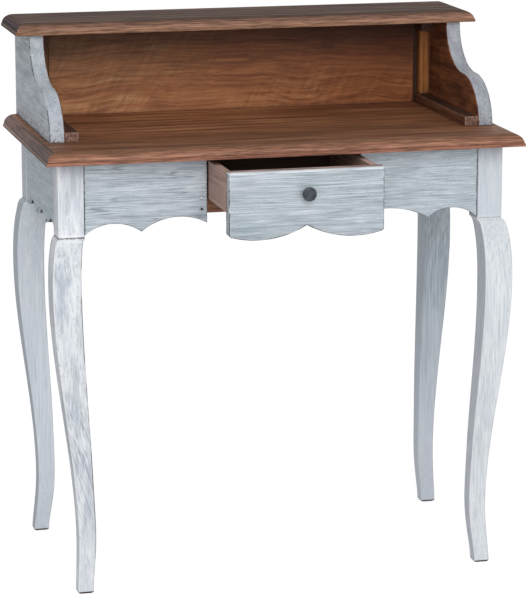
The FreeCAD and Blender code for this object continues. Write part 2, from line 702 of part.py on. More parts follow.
bearer_rail = board("bearer_rail", desk_place, (f"-{guide_inner}", guide_inner), (rail_face, rail_back),
                    (rail_foot, runner_top))
rail_end = f"({guide_inner} + Dims.rail_tenon)"
add_box(bearer_rail, (f"-{rail_end}", rail_end), rail_tenon_y, rail_tenon_z)

runner = board("drawer_runner_left", desk_place, (f"-{guide_inner}", f"-{guide_inner} + Dims.runner_size"),
               (rail_back, rear_apron_back), (f"{runner_top} - Dims.runner_size", runner_top))
mirror("drawer_runner_right", runner)

# Blocks that hold the desk top to the side aprons
block_names = ["front_left", "rear_left", "front_right", "rear_right"]
for name, (across, back) in zip(block_names, top_screw_places):
    block = board(f"top_block_{name}", desk_place,
                  (f"{across} - Dims.block_size / 2", f"{across} + Dims.block_size / 2"),
                  (f"{back} - Dims.block_long / 2", f"{back} + Dims.block_long / 2"),
                  (f"{frame_top} - Dims.block_size", frame_top))
    drill(block, "XY_Plane", f"{frame_top} - Dims.block_size", (across, back), screw_hole, "Dims.block_size",
          along_normal=True)

# Drawer front: two lobes with a notch between them, housed for the sides and grooved for the bottom
drawer_front = new_body("drawer_front", drawer_place)
front_side = "(Dims.front_width / 2)"
front_top = f"({frame_top} - Dims.front_gap)"
corner_level = f"({frame_top} - Dims.front_corner_drop)"
lobe_level = f"({frame_top} - Dims.lobe_drop)"
front_outline = outline(
    drawer_front, "XZ_Plane", f"-{front_back}",
    [
        (f"-{front_side}", front_top),
        (f"-{front_side}", corner_level),
        ("0", f"{frame_top} - Dims.notch_drop"),
        (front_side, corner_level),
        (front_side, front_top),
    ],
    arcs={1: ("-Dims.lobe_from_middle", lobe_level), 2: ("Dims.lobe_from_middle", lobe_level)},
)
pad(drawer_front, front_outline, "Dims.front_thick")
ease(drawer_front, "Dims.front_corner_round",
     lambda edge: lies_at(edge, "Z", value(corner_level)) and edge.BoundBox.YLength > 1)
ease(drawer_front, "Dims.apron_round", lambda edge: lies_at(edge, "Y", value(apron_face)))
for side in both_sides:
    cut_box(drawer_front,
            (f"{side} * {drawer_side_outer}", f"{side} * {drawer_side_inner}"),
            (f"{front_back} - Dims.housing_deep", front_back), (drawer_sole, drawer_head))
bottom_edge = f"({drawer_side_inner} + Dims.groove_deep)"
cut_box(drawer_front, (f"-{bottom_edge}", bottom_edge), (f"{front_back} - Dims.groove_deep", front_back),
        (bottom_under, bottom_top))
drill(drawer_front, "XZ_Plane", f"-{apron_face}", ("0", knob_level), screw_hole, "Dims.front_thick")

# Drawer box
drawer_side = board("drawer_side_left", drawer_place, (f"-{drawer_side_outer}", f"-{drawer_side_inner}"),
                    (f"{front_back} - Dims.housing_deep", drawer_rear), (drawer_sole, drawer_head))
cut_box(drawer_side, (f"-{bottom_edge}", f"-{drawer_side_inner}"),
        (f"{front_back} - Dims.housing_deep", drawer_rear), (bottom_under, bottom_top))
dado_bottom = f"({drawer_side_inner} + Dims.dado_deep)"
cut_box(drawer_side, (f"-{dado_bottom}", f"-{drawer_side_inner}"), (drawer_back_face, drawer_back_rear),
        (bottom_top, drawer_head))
mirror("drawer_side_right", drawer_side)
board("drawer_back", drawer_place, (f"-{dado_bottom}", dado_bottom), (drawer_back_face, drawer_back_rear),
      (bottom_top, f"{drawer_head} - Dims.drawer_back_lower"))
board("drawer_bottom", drawer_place, (f"-{bottom_edge}", bottom_edge),
      (f"{front_back} - Dims.groove_deep", drawer_back_rear), (bottom_under, bottom_top))

# Knob: a flat turned disc on a waisted stem, held by a screw from inside the drawer
knob = new_body("drawer_knob", drawer_place)
knob_tip = f"({apron_face} - Dims.knob_reach)"
disc_back = f"({knob_tip} + Dims.knob_face)"
disc_edge = "(Dims.knob_wide / 2)"
waist_middle = f"(({disc_back} + {apron_face}) / 2)"
half_section = outline(
    knob, "XY_Plane", knob_level,
    [
        ("0", apron_face),
        ("0", knob_tip),
        (f"{disc_edge} - Dims.knob_bevel", f"{knob_tip} + Dims.knob_dome"),
        (disc_edge, f"{knob_tip} + Dims.knob_bevel"),
        (disc_edge, f"{disc_back} - Dims.knob_bevel"),
        ("Dims.knob_stem / 2", disc_back),
        ("Dims.knob_stem / 2", apron_face),
    ],
    arcs={5: ("Dims.knob_waist / 2", waist_middle)},
)
turned = knob.newObject("PartDesign::Revolution", "Revolution")
turned.Profile = half_section
turned.ReferenceAxis = (half_section, ["V_Axis"])
turned.Angle = 360
doc.recompute()
knob_bore = "(Dims.knob_reach - Dims.knob_face)"
drill(knob, "XZ_Plane", f"-{apron_face}", ("0", knob_level), screw_hole, knob_bore, along_normal=True)

# Fasteners, each kind one group of separate solids
fastener_group("top_screws", desk_place, [
    screw(x, y, f"{frame_top} - Dims.block_size", upward, "Dims.block_size + Dims.screw_bite")
    for x, y in top_screw_places])
fastener_group("gallery_screws", desk_place, [
    screw(x, y, frame_top, upward, "Dims.top_thick + Dims.screw_bite") for x, y in gallery_screw_places])
fastener_group("shelf_screws", desk_place, [
    screw(x, y, shelf_cleat_foot, upward, "Dims.shelf_cleat_high + Dims.screw_bite")
    for x, y in shelf_screw_places])
fastener_group("knob_screw", drawer_place, [
    screw("0", front_back, knob_level, -backward, f"Dims.front_thick + {knob_bore} - Dims.hole_deeper")])

nails = []
for across, up in nail_places:
    for face, direction in ((apron_face, backward), (rear_apron_face, -backward)):
        head = Vector(value(across), value(face), value(up))
        nails.append(fastener(head, direction, "Dims.nail_head_wide", "Dims.nail_head_high", "Dims.nail_wide",
                              "Dims.nail_long"))
fastener_group("apron_nails", desk_place, nails)

# Check the whole document, then write one file for each piece
doc.recompute()
for item in doc.Objects:
    if "Invalid" in item.State or "Error" in item.State:
        raise RuntimeError(f"{item.Label} has not been built: {item.State}")
for piece in pieces:
    if piece.Shape.isNull() or not piece.Shape.isValid():
        raise RuntimeError(f"{piece.Label} has no valid shape")

os.makedirs("parts", exist_ok=True)
for piece in pieces:
    piece.Shape.exportStep(f"parts/{piece.Label}.step")
print(f"{len(pieces)} pieces written")
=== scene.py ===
import math
from functools import partial

import bpy
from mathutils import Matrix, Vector


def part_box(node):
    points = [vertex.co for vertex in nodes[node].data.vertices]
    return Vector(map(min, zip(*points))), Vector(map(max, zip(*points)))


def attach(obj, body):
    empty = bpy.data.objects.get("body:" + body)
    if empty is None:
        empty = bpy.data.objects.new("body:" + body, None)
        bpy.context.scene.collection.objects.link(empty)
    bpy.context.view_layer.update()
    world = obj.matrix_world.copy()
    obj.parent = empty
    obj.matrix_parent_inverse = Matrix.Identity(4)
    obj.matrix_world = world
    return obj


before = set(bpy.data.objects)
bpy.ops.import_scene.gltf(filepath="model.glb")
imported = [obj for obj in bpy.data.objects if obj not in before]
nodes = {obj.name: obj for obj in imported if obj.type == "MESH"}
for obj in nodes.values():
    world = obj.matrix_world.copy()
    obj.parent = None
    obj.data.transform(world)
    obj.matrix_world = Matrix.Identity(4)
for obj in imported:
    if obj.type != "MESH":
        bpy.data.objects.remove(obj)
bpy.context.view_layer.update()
print("frame loaded:", len(nodes), "CAD nodes")

metre = 1000  # settings that end in Mm are millimetres, and the scene is in metres


# Small tools
def hexColour(text):
    channels = [int(text[place:place + 2], 16) / 255 for place in (1, 3, 5)]
    linear = [c / 12.92 if c <= 0.04045 else ((c + 0.055) / 1.055) ** 2.4 for c in channels]
    return (*linear, 1.0)


def addNode(tree, kind, inputs=None, out=0, stops=(), **settings):
    # one node with its settings, links and ramp stops
    node = tree.nodes.new("ShaderNode" + kind)
    for name, value in settings.items():
        setattr(node, name, value)
    for socket, value in (inputs or {}).items():
        if isinstance(value, bpy.types.NodeSocket):
            tree.links.new(value, node.inputs[socket])
        else:
            node.inputs[socket].default_value = value
    for number, (place, colour) in enumerate(stops):
        elements = node.color_ramp.elements
        element = elements[number] if number < 2 else elements.new(place)
        element.position = place
        element.color = hexColour(colour)
    return node.outputs[out]


colourMix = {"out": 2, "data_type": "RGBA"}  # for a Mix node of two colours, which are its inputs 6 and 7


def newMaterial(name):
    material = bpy.data.materials.new(name)
    material.use_nodes = True
    tree = material.node_tree
    return material, tree, tree.nodes["Principled BSDF"]


def without(look, *names):
    return {name: value for name, value in look.items() if name not in names}


# turns the grain's run onto the pattern's X
grainTurns = {"x": (0, 0, 0), "y": (0, 0, -90), "z": (0, 90, 0)}


def grainSpace(tree, look):
    # object space with the grain along X, swaying a little as growth and brush strokes do
    here = addNode(tree, "TexCoord", out="Object")
    turn = [math.radians(angle) for angle in grainTurns[look["run"]]]
    along = addNode(tree, "Mapping", {"Vector": here, "Location": look["shift"], "Rotation": turn})
    longMm, asideMm = look["swayMm"]
    slow = addNode(tree, "TexNoise", {"Vector": along, "Scale": metre / longMm, "Detail": 1}, out="Color")
    sway = (0, asideMm / metre, asideMm / metre)
    return addNode(tree, "VectorMath", {0: slow, 1: sway, 2: along}, operation="MULTIPLY_ADD")


def streaks(tree, space, sizeMm, detail=4, rough=0.6):
    # noise of a length and width, drawn out along the grain, with values about 0.5
    longMm, wideMm = sizeMm
    size = (metre / longMm, metre / wideMm, metre / wideMm)
    drawn = addNode(tree, "Mapping", {"Vector": space, "Scale": size})
    return addNode(tree, "TexNoise", {"Vector": drawn, "Scale": 1, "Detail": detail, "Roughness": rough})


def layer(tree, colour, noise, levels, share, tint, where=None):
    # a tint over the colour: none at the first level of the noise, the whole share at the second
    first, second = levels
    mask = addNode(tree, "MapRange", {
        "Value": noise, "From Min": first, "From Max": second, "To Max": share})
    if where is not None:
        mask = addNode(tree, "Math", {0: mask, 1: where}, operation="MULTIPLY")
    return addNode(tree, "Mix", {0: mask, 6: colour, 7: hexColour(tint)}, **colourMix)


def edgeTurn(tree, radiusMm):
    # how far the surface turns within that distance: 0 on a flat face, about 0.3 on a square corner
    rounded = addNode(tree, "Bevel", {"Radius": radiusMm / metre}, samples=6)
    here = addNode(tree, "NewGeometry", out="Normal")
    match = addNode(tree, "VectorMath", {0: rounded, 1: here}, out="Value", operation="DOT_PRODUCT")
    return addNode(tree, "Math", {0: 1.0, 1: match}, operation="SUBTRACT"), rounded


def beyond(tree, limit, ragged):
    # 1 past a plane of the object, or nearer its middle than the plane, with a ragged border
    axis, side, placeMm, raggedMm = limit
    here = addNode(tree, "TexCoord", out="Object")
    depth = addNode(tree, "SeparateXYZ", {0: here}, out="XYZ".index(axis))
    plane = placeMm / metre
    if side == "inside":
        depth = addNode(tree, "Math", {0: depth}, operation="ABSOLUTE")
        depth = addNode(tree, "Math", {0: depth, 1: -1.0}, operation="MULTIPLY")
        plane = -plane
    stray = raggedMm / metre
    wander = addNode(tree, "MapRange", {"Value": ragged, "To Min": -stray, "To Max": stray})
    depth = addNode(tree, "Math", {0: depth, 1: wander}, operation="ADD")
    soft = 0.4 / metre  # half the width of the border
    return addNode(tree, "MapRange", {"Value": depth, "From Min": plane - soft, "From Max": plane + soft})


# Whitewash: thin blue-grey emulsion brushed over open-grained wood and rubbed back when dry.
# It gives a chalky face with fine brush lines and dark grain, white rubbed edges and chips down to wood.
# Brush lines, scratches and open grain are really finer than 1 mm. They are drawn about 2 mm wide,
# because finer ones don't show at the size of the picture.
paintLook = {
    "bandMm": (260, 17), "fieldMm": (55, 15), "tintMm": (190, 75), "fleckMm": (11, 4.5),
    "grimeAndShade": "#4b4e55", "grimeAndShadeMm": 9, "crack": "#4a4d54", "crackMm": 1.0, "markFadeMm": 30,
    "headGreyAndShadeMm": (725, 765), "headGreyAndShadeRaggedMm": 30, "reliefMm": 0.7, "ior": 1.45, "shine": 0.3,
}


def whitewash(name, look):
    material, tree, shader = newMaterial(name)
    add = partial(addNode, tree)
    space = grainSpace(tree, look)
    slanted = add("Mapping", {"Vector": space, "Rotation": [0, math.radians(look["gritTurn"]), 0]})
    brush = streaks(tree, space, look["brushMm"], detail=1, rough=0.5)
    grit = streaks(tree, slanted, look["gritMm"], detail=2)
    scratch = streaks(tree, slanted, look["scratchMm"], detail=1)
    rings = streaks(tree, space, look["ringMm"], detail=1, rough=0.4)
    smudge = streaks(tree, space, look["smudgeMm"], detail=5, rough=0.62)
    band = streaks(tree, space, paintLook["bandMm"], detail=1)
    field = streaks(tree, space, paintLook["fieldMm"], detail=3)
    tint = streaks(tree, space, paintLook["tintMm"], detail=2)
    fleck = streaks(tree, space, paintLook["fleckMm"], detail=4, rough=0.75)
    place = add("SeparateXYZ", {0: add("TexCoord", out="Object")}).node.outputs
    facing = add("SeparateXYZ", {0: add("NewGeometry", out="Normal")}).node.outputs

    # brushed ground, with mauve, chalky and thin patches
    tone = add("Mix", {0: look["bandShare"], 2: brush, 3: band})
    tone = add("Mix", {0: look["gritShare"], 2: tone, 3: grit})
    spread = look["spread"]
    deep, base, pale = look["greys"]
    colour = add("ValToRGB", {"Fac": tone}, stops=[(0.5 - spread, deep), (0.5, base), (0.5 + spread, pale)])
    colour = layer(tree, colour, tint, (0.42, 0.60), look["mauveShare"], look["mauve"])
    colour = layer(tree, colour, smudge, (0.48, 0.62), look["chalkShare"], look["chalk"])
    colour = layer(tree, colour, smudge, (0.47, 0.35), look["greyShare"], look["grey"])

    # dark open grain in some places, white dry-brush lines between it in others
    ringed = add("Math", {0: rings, 1: look["ringCount"]}, operation="MULTIPLY")
    ringed = add("Math", {0: ringed, 1: 0.5}, operation="PINGPONG")
    thin = look["ringThin"]
    grain = add("MapRange", {"Value": ringed, "From Min": thin, "From Max": thin * 0.3})
    opened = add("MapRange", {
        "Value": field, "From Min": 0.44, "From Max": 0.58, "To Max": look["grainShare"]})
    grain = add("Math", {0: grain, 1: opened}, operation="MULTIPLY")
    colour = add("Mix", {0: grain, 6: colour, 7: hexColour(look["line"])}, **colourMix)
    dry = add("MapRange", {"Value": ringed, "From Min": 0.5 - thin, "From Max": 0.5 - thin * 0.3})
    colour = layer(tree, colour, field, (0.58, 0.44), look["dryShare"], look["chalk"], where=dry)

    # short scratches: some show the ground, some are chalky
    colour = layer(tree, colour, scratch, (0.57, 0.68), look["scratchShare"], look["line"])
    colour = layer(tree, colour, scratch, (0.43, 0.32), look["scratchShare"], look["chalk"])

    # edges: rubbed white, with the very corner worn to dark wood along some of its length
    turn, rounded = edgeTurn(tree, look["edgeMm"])
    edge = add("MapRange", {"Value": turn, "From Min": 0.01, "From Max": 0.10})
    if look["face"] == "corners":
        # a leg: painted shade and light on the flanks, left front and right rear corners pale, the other two
        # worn dark
        sideways = add("Math", {0: facing["X"]}, operation="ABSOLUTE")
        forward = add("Math", {0: facing["Y"]}, operation="ABSOLUTE")
        flankShading = add("Math", {0: sideways, 1: forward}, operation="SUBTRACT")
        colour = layer(tree, colour, flankShading, (0.05, 0.25), look["flankShadingShare"], look["flankShading"])
        skew = add("Math", {0: facing["X"], 1: facing["Y"]}, operation="MULTIPLY")
        colour = layer(tree, colour, skew, (0.15, 0.35), look["paleShare"], look["chalk"])
        corner = add("MapRange", {"Value": skew, "From Min": -0.22, "From Max": -0.40})
    else:
        flat = add("Math", {0: facing[look["face"]]}, operation="ABSOLUTE")
        corner = add("ValToRGB", {"Fac": flat}, stops=[
            (0.05, "#000000"), (0.25, "#ffffff"), (0.90, "#ffffff"), (0.99, "#000000")])
        arris = add("MapRange", {"Value": turn, "From Min": 0.10, "From Max": 0.20})
        corner = add("Math", {0: corner, 1: arris}, operation="MAXIMUM")
    colour = layer(tree, colour, fleck, (0.38, 0.52), look["rubShare"], look["chalk"], where=edge)
    chip = add("MapRange", {
        "Value": fleck, "From Min": 0.54, "From Max": 0.62, "To Max": look["chipShare"]})
    knocked = add("MapRange", {"Value": smudge, "From Min": 0.44, "From Max": 0.56})
    chip = add("Math", {0: chip, 1: knocked}, operation="MULTIPLY")
    chip = add("Math", {0: edge, 1: chip}, operation="MULTIPLY")
    worn = add("MapRange", {
        "Value": field, "From Min": 0.40, "From Max": 0.54, "To Max": look["wornShare"]})
    worn = add("Math", {0: corner, 1: worn}, operation="MULTIPLY")
    chip = add("Math", {0: chip, 1: worn}, operation="MAXIMUM")
    colour = add("Mix", {0: chip, 6: colour, 7: hexColour(look["wood"])}, **colourMix)
    colour = layer(tree, colour, fleck, (0.60, 0.66), look["speckShare"], look["line"], where=knocked)

    # dirt and painted shade in the corners, from occlusion, then scores and chips that lie between two
    # heights only
    openness = add("AmbientOcclusion", {"Distance": paintLook["grimeAndShadeMm"] / metre}, out="AO", samples=6)
    colour = layer(tree, colour, openness, (0.75, 0.25), look["grimeAndShadeShare"], paintLook["grimeAndShade"])
    for mark in look.get("marks", []):
        turned = add("Mapping", {"Vector": space, "Rotation": [0, math.radians(mark["turn"]), 0]})
        strokes = streaks(tree, turned, mark["sizeMm"], detail=1)
        low, high = [level / metre for level in mark["betweenMm"]]
        fadeOut = paintLook["markFadeMm"] / metre
        above = add("MapRange", {"Value": place["Z"], "From Min": low - fadeOut, "From Max": low})
        below = add("MapRange", {"Value": place["Z"], "From Min": high + fadeOut, "From Max": high})
        between = add("Math", {0: above, 1: below}, operation="MULTIPLY")
        colour = layer(tree, colour, strokes, (0.56, 0.64), mark["share"], mark["colour"], where=between)

    if "postFootMm" in look:
        onPost = add("Math", {0: place["Z"], 1: look["postFootMm"] / metre}, operation="GREATER_THAN")
    if "jointMm" in look:
        # the broken dark crack where an apron meets a post
        half = paintLook["crackMm"] / metre
        across = add("Math", {0: place["X"]}, operation="ABSOLUTE")
        wander = add("MapRange", {
            "Value": fleck, "From Min": 0.3, "From Max": 0.7, "To Min": -half, "To Max": half})
        across = add("Math", {0: across, 1: wander}, operation="ADD")
        crack = add("Math", {0: across, 1: look["jointMm"] / metre, 2: half}, operation="COMPARE")
        broken = add("MapRange", {"Value": fleck, "From Min": 0.40, "From Max": 0.50, "To Min": 0.25})
        crack = add("Math", {0: crack, 1: broken}, operation="MULTIPLY")
        crack = add("Math", {0: crack, 1: onPost}, operation="MULTIPLY")
        colour = add("Mix", {0: crack, 6: colour, 7: hexColour(paintLook["crack"])}, **colourMix)
    if "postTint" in look:
        # the post differs from the leg, and is greyed at its head, under the desk top, partly grey paint and
        # partly painted shade
        tinted = add("Math", {0: onPost, 1: look["postShare"]}, operation="MULTIPLY")
        colour = add("Mix", {0: tinted, 6: colour, 7: hexColour(look["postTint"])}, **colourMix)
        stray = paintLook["headGreyAndShadeRaggedMm"] / metre
        ragged = add("MapRange", {
            "Value": smudge, "From Min": 0.3, "From Max": 0.7, "To Min": -stray, "To Max": stray})
        height = add("Math", {0: place["Z"], 1: ragged}, operation="SUBTRACT")
        head = [level / metre for level in paintLook["headGreyAndShadeMm"]]
        colour = layer(tree, colour, height, head, look["headGreyAndShadeShare"], look["grey"])
    if "rimAtMm" in look:
        # a top edge, or the lips of the line cut across a post, rubbed white; dark dashes of painted shade
        # lie in the cut
        level = look["rimAtMm"] / metre
        rim = add("Math", {0: place["Z"], 1: level, 2: look["rimMm"] / metre}, operation="COMPARE")
        colour = layer(tree, colour, field, (0.36, 0.56), look["rimRub"], look["chalk"], where=rim)
        if "cutShadeMm" in look:
            cutShade = add("Math", {0: place["Z"], 1: level, 2: look["cutShadeMm"] / metre}, operation="COMPARE")
            colour = layer(tree, colour, fleck, (0.40, 0.48), look["cutShadeShare"], look["wood"], where=cutShade)
    if "footShadingMm" in look:
        # painted light and shade: the leg paler or darker towards the foot
        levels = [level / metre for level in look["footShadingMm"]]
        colour = layer(tree, colour, place["Z"], levels, look["footShadingShare"], look["footShading"])
    if "soleMm" in look:
        # worn to the wood round the sole, with painted shade where the foot meets the floor
        levels = [level / metre for level in look["soleMm"]]
        colour = layer(tree, colour, place["Z"], levels, 1.0, look["sole"])
    if "bare" in look:
        # bare wood where the brush stopped
        bare = beyond(tree, look["bare"], fleck)
        if "bareUp" in look:
            upward = add("Math", {0: facing["Z"], 1: 0.7}, operation="GREATER_THAN")
            bareTop = beyond(tree, look["bareUp"], fleck)
            bareTop = add("Math", {0: bareTop, 1: upward}, operation="MULTIPLY")
            bare = add("Math", {0: bare, 1: bareTop}, operation="MAXIMUM")
        dark, mid, light = look["bareBrowns"]
        stained = add("Mix", {0: 0.85, 2: tone, 3: smudge})
        wood = add("ValToRGB", {"Fac": stained}, stops=[(0.40, dark), (0.50, mid), (0.60, light)])
        wood = add("Mix", {0: grain, 6: wood, 7: hexColour(dark)}, **colourMix)
        colour = add("Mix", {0: bare, 6: colour, 7: wood}, **colourMix)

    relief = add("Math", {0: tone, 1: grain}, operation="SUBTRACT")
    relief = add("Math", {0: relief, 1: chip}, operation="SUBTRACT")
    depth = paintLook["reliefMm"] / metre
    bump = add("Bump", {"Strength": 0.4, "Distance": depth, "Height": relief, "Normal": rounded})
    sheen = add("MapRange", {
        "Value": tone, "From Min": 0.35, "From Max": 0.65, "To Min": 0.78, "To Max": 0.60})
    tree.links.new(colour, shader.inputs["Base Color"])
    tree.links.new(sheen, shader.inputs["Roughness"])
    tree.links.new(bump, shader.inputs["Normal"])
    shader.inputs["IOR"].default_value = paintLook["ior"]
    shader.inputs["Specular IOR Level"].default_value = paintLook["shine"]
    return material


# Waxed hardwood: planed boards, stained, waxed and handled for years.
# It gives drawn-out grain in several browns, open pores, a low sheen and paler rubbed edges.
# Real pores are about 0.3 mm wide. They are drawn as streaks of 1.6 mm and more, so that they show.
# The widths of fine grain, rings and pores are multiples of the grain's width.
woodLook = {
    "fineWide": 0.35, "ringLongMm": 420, "ringWide": 3, "poreLongMm": 45, "poreWide": 0.4,
    "cloudMm": (260, 110), "fleckMm": (26, 5), "curlMm": (60, 8),
    "mottleMm": (40, 2.2), "planedMm": (110, 2.6), "planedSwayMm": (420, 3), "unevenMm": 35,
    "shadedGroove": "#291711", "edgeMm": 2.5, "grimeAndShadeMm": 12, "grimeAndShadeShare": 0.75, "reliefMm": 0.6, "ior": 1.46,
}


def waxedWood(name, look):
    material, tree, shader = newMaterial(name)
    add = partial(addNode, tree)
    space = grainSpace(tree, look)
    wide = look["grainWideMm"]
    grain = streaks(tree, space, (look["grainLongMm"], wide), detail=3)
    fine = streaks(tree, space, (look["fineLongMm"], wide * woodLook["fineWide"]), detail=3, rough=0.65)
    rings = streaks(tree, space, (woodLook["ringLongMm"], wide * woodLook["ringWide"]), detail=1, rough=0.4)
    cloud = streaks(tree, space, woodLook["cloudMm"], detail=3)
    pores = streaks(tree, space, (woodLook["poreLongMm"], wide * woodLook["poreWide"]), detail=2)
    fleck = streaks(tree, space, woodLook["fleckMm"], detail=4, rough=0.7)
    place = add("SeparateXYZ", {0: add("TexCoord", out="Object")}).node.outputs
    facing = add("SeparateXYZ", {0: add("NewGeometry", out="Normal")}).node.outputs

    # grain in four browns, with thin dark rings
    tone = add("Mix", {0: look["fineShare"], 2: grain, 3: fine})
    tone = add("Mix", {0: look["cloudShare"], 2: tone, 3: cloud})
    spread = look["spread"]
    dark, mid, warm, light = look["browns"]
    colour = add("ValToRGB", {"Fac": tone}, stops=[
        (0.5 - spread, dark), (0.5 - spread * 0.3, mid), (0.5 + spread * 0.3, warm), (0.5 + spread, light)])
    ring = add("Math", {0: rings, 1: 0.5}, operation="SUBTRACT")
    ring = add("Math", {0: ring}, operation="ABSOLUTE")
    colour = layer(tree, colour, ring, (0.03, 0.009), look["ringShare"], look["pore"])
    if "curlTurn" in look:
        # curl: ripples that cross the grain at a slant
        turn = [math.radians(angle) for angle in look["curlTurn"]]
        aslant = add("Mapping", {"Vector": space, "Rotation": turn})
        ripple = streaks(tree, aslant, woodLook["curlMm"])
        ripple = add("MapRange", {
            "Value": ripple, "From Min": 0.36, "From Max": 0.64, "To Min": 0.70, "To Max": 1.22})
        curled = add("MapRange", {
            "Value": cloud, "From Min": 0.42, "From Max": 0.62, "To Min": 0.15, "To Max": 0.75})
        colour = add("Mix", {0: curled, 6: colour, 7: ripple}, blend_type="MULTIPLY", **colourMix)
    pore = add("MapRange", {
        "Value": pores, "From Min": 0.58, "From Max": 0.68, "To Max": look["poreShare"]})
    colour = add("Mix", {0: pore, 6: colour, 7: hexColour(look["pore"])}, **colourMix)

    # moulded edge: a ramp of colour over its height, partly stain and wear and partly painted highlight on
    # the round and painted shade in the step; the end has its own ramp, with painted light lines
    if "mould" in look:
        low, high = look["mould"]
        height = add("MapRange", {"Value": place["Z"], "From Min": low, "From Max": high})
        mould = add("ValToRGB", {"Fac": height}, stops=look["mouldToneAndLightStops"])
        mottle = streaks(tree, space, woodLook["mottleMm"], detail=2)
        mottle = add("MapRange", {
            "Value": mottle, "From Min": 0.34, "From Max": 0.66, "To Min": 0.50, "To Max": 1.50})
        mould = add("Mix", {0: 1.0, 6: mould, 7: mottle}, blend_type="MULTIPLY", **colourMix)
        slope = add("MapRange", {"Value": facing["Z"], "From Min": 0.985, "From Max": 0.93})
        notUnder = add("MapRange", {"Value": facing["Z"], "From Min": -0.9, "From Max": -0.5})
        slope = add("Math", {0: slope, 1: notUnder}, operation="MULTIPLY")
        colour = add("Mix", {0: slope, 6: colour, 7: mould}, **colourMix)
        endGrain = add("ValToRGB", {"Fac": height}, stops=look["endToneAndLightStops"])
        endSpace = grainSpace(tree, {**look, "run": "y", "swayMm": woodLook["planedSwayMm"]})
        planed = streaks(tree, endSpace, woodLook["planedMm"], detail=2)
        planed = add("MapRange", {
            "Value": planed, "From Min": 0.36, "From Max": 0.64, "To Min": 0.25, "To Max": 1.75})
        endGrain = add("Mix", {0: 1.0, 6: endGrain, 7: planed}, blend_type="MULTIPLY", **colourMix)
        sideways = add("Math", {0: facing["X"]}, operation="ABSOLUTE")
        sideways = add("MapRange", {"Value": sideways, "From Min": 0.15, "From Max": 0.3})
        colour = add("Mix", {0: sideways, 6: colour, 7: endGrain}, **colourMix)

    # colour shaded towards one edge of a board, along an uneven line: painted light on the desk top, painted
    # shade with some dirt under the shelf on the back panel, and the panel's own tone
    if "lightAndToneShades" in look:
        stray = woodLook["unevenMm"] / metre
        uneven = add("MapRange", {
            "Value": cloud, "From Min": 0.3, "From Max": 0.7, "To Min": -stray, "To Max": stray})
        for blend, shade, share, spans in look["lightAndToneShades"]:
            for axis, low, high in spans:
                along = add("Math", {0: place[axis], 1: uneven}, operation="ADD")
                along = add("MapRange", {"Value": along, "From Min": low, "From Max": high})
                share = add("Math", {0: along, 1: share}, operation="MULTIPLY")
            colour = add("Mix", {0: share, 6: colour, 7: hexColour(shade)}, blend_type=blend, **colourMix)

    # painted shade: the dark groove at the right end of the panel, set back from its face
    if "shadedGroove" in look:
        shadedGroove = beyond(tree, look["shadedGroove"], fleck)
        ahead = add("Math", {0: facing["Y"], 1: 0.5}, operation="LESS_THAN")
        shadedGroove = add("Math", {0: shadedGroove, 1: ahead}, operation="MULTIPLY")
        rightEnd = add("Math", {0: place["X"], 1: 0.0}, operation="GREATER_THAN")
        shadedGroove = add("Math", {0: shadedGroove, 1: rightEnd}, operation="MULTIPLY")
        colour = add("Mix", {0: shadedGroove, 6: colour, 7: hexColour(woodLook["shadedGroove"])}, **colourMix)

    # faces across one axis that differ from the rest: painted shade on some, wear on others
    for axis, (tint, share) in look.get("faces", {}).items():
        squarely = add("Math", {0: facing[axis]}, operation="ABSOLUTE")
        squarely = add("Math", {0: squarely, 1: 0.9}, operation="GREATER_THAN")
        aged = add("MapRange", {"Value": fleck, "From Min": 0.35, "From Max": 0.6,
                                "To Min": share * 0.5, "To Max": share})
        aged = add("Math", {0: squarely, 1: aged}, operation="MULTIPLY")
        mottle = add("MapRange", {
            "Value": fleck, "From Min": 0.36, "From Max": 0.64, "To Min": 0.45, "To Max": 1.5})
        tinted = add("Mix", {0: 1.0, 6: hexColour(tint), 7: mottle}, blend_type="MULTIPLY", **colourMix)
        colour = add("Mix", {0: aged, 6: colour, 7: tinted}, **colourMix)

    # rubbed edges, less so on end grain, and dirt with painted shade from occlusion where boards meet
    turn, rounded = edgeTurn(tree, woodLook["edgeMm"])
    edge = add("MapRange", {
        "Value": turn, "From Min": 0.02, "From Max": 0.14, "To Max": look["rubShare"]})
    patchy = add("MapRange", {"Value": fleck, "From Min": 0.40, "From Max": 0.58, "To Min": 0.15})
    rub = add("Math", {0: edge, 1: patchy}, operation="MULTIPLY")
    if "mould" in look:
        lengthways = add("MapRange", {"Value": sideways, "To Min": 1.0, "To Max": 0.1})
        rub = add("Math", {0: rub, 1: lengthways}, operation="MULTIPLY")
    colour = add("Mix", {0: rub, 6: colour, 7: hexColour(look["rubbed"])}, **colourMix)
    openness = add("AmbientOcclusion", {"Distance": woodLook["grimeAndShadeMm"] / metre}, out="AO", samples=6)
    colour = layer(tree, colour, openness, (0.75, 0.35), woodLook["grimeAndShadeShare"], look["pore"])

    relief = add("Math", {0: tone, 1: pore}, operation="SUBTRACT")
    depth = woodLook["reliefMm"] / metre
    bump = add("Bump", {"Strength": 0.35, "Distance": depth, "Height": relief, "Normal": rounded})
    sheen = add("MapRange", {"Value": tone, "From Min": 0.35, "From Max": 0.65,
                             "To Min": look["rough"] + 0.10, "To Max": look["rough"]})
    tree.links.new(colour, shader.inputs["Base Color"])
    tree.links.new(sheen, shader.inputs["Roughness"])
    tree.links.new(bump, shader.inputs["Normal"])
    shader.inputs["IOR"].default_value = woodLook["ior"]
    shader.inputs["Specular IOR Level"].default_value = look["shine"]
    return material


